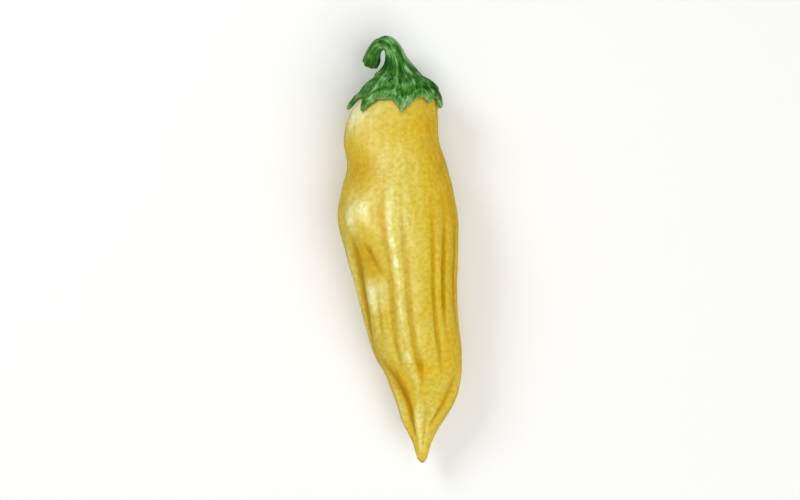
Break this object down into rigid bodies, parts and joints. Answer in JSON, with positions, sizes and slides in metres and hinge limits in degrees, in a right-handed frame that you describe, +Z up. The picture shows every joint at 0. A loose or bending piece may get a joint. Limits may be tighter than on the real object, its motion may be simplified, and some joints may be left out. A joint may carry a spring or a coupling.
{
  "type": "lemon drop chili pepper",
  "caption": "Ripe yellow chili pepper as picked: a furrowed, crooked pod that narrows to a blunt tip, with its green toothed calyx and hooked stalk.",
  "frame": {"origin": "middle of the small flat spot that the pepper rests on, under its weight", "axes": "the pepper lies on its side; +Y runs along the pod from its tip towards its stalk, +X is its right seen from above with the stalk at the top, +Z is up"},
  "size_m": [0.0253, 0.0874, 0.0226],
  "materials": {
    "pod_skin": "satin",
    "green_calyx": "matte"
  },
  "bodies": {
    "root": {"pod": "pod_skin", "calyx_and_stalk": "green_calyx"}
  },
  "joints": []
}
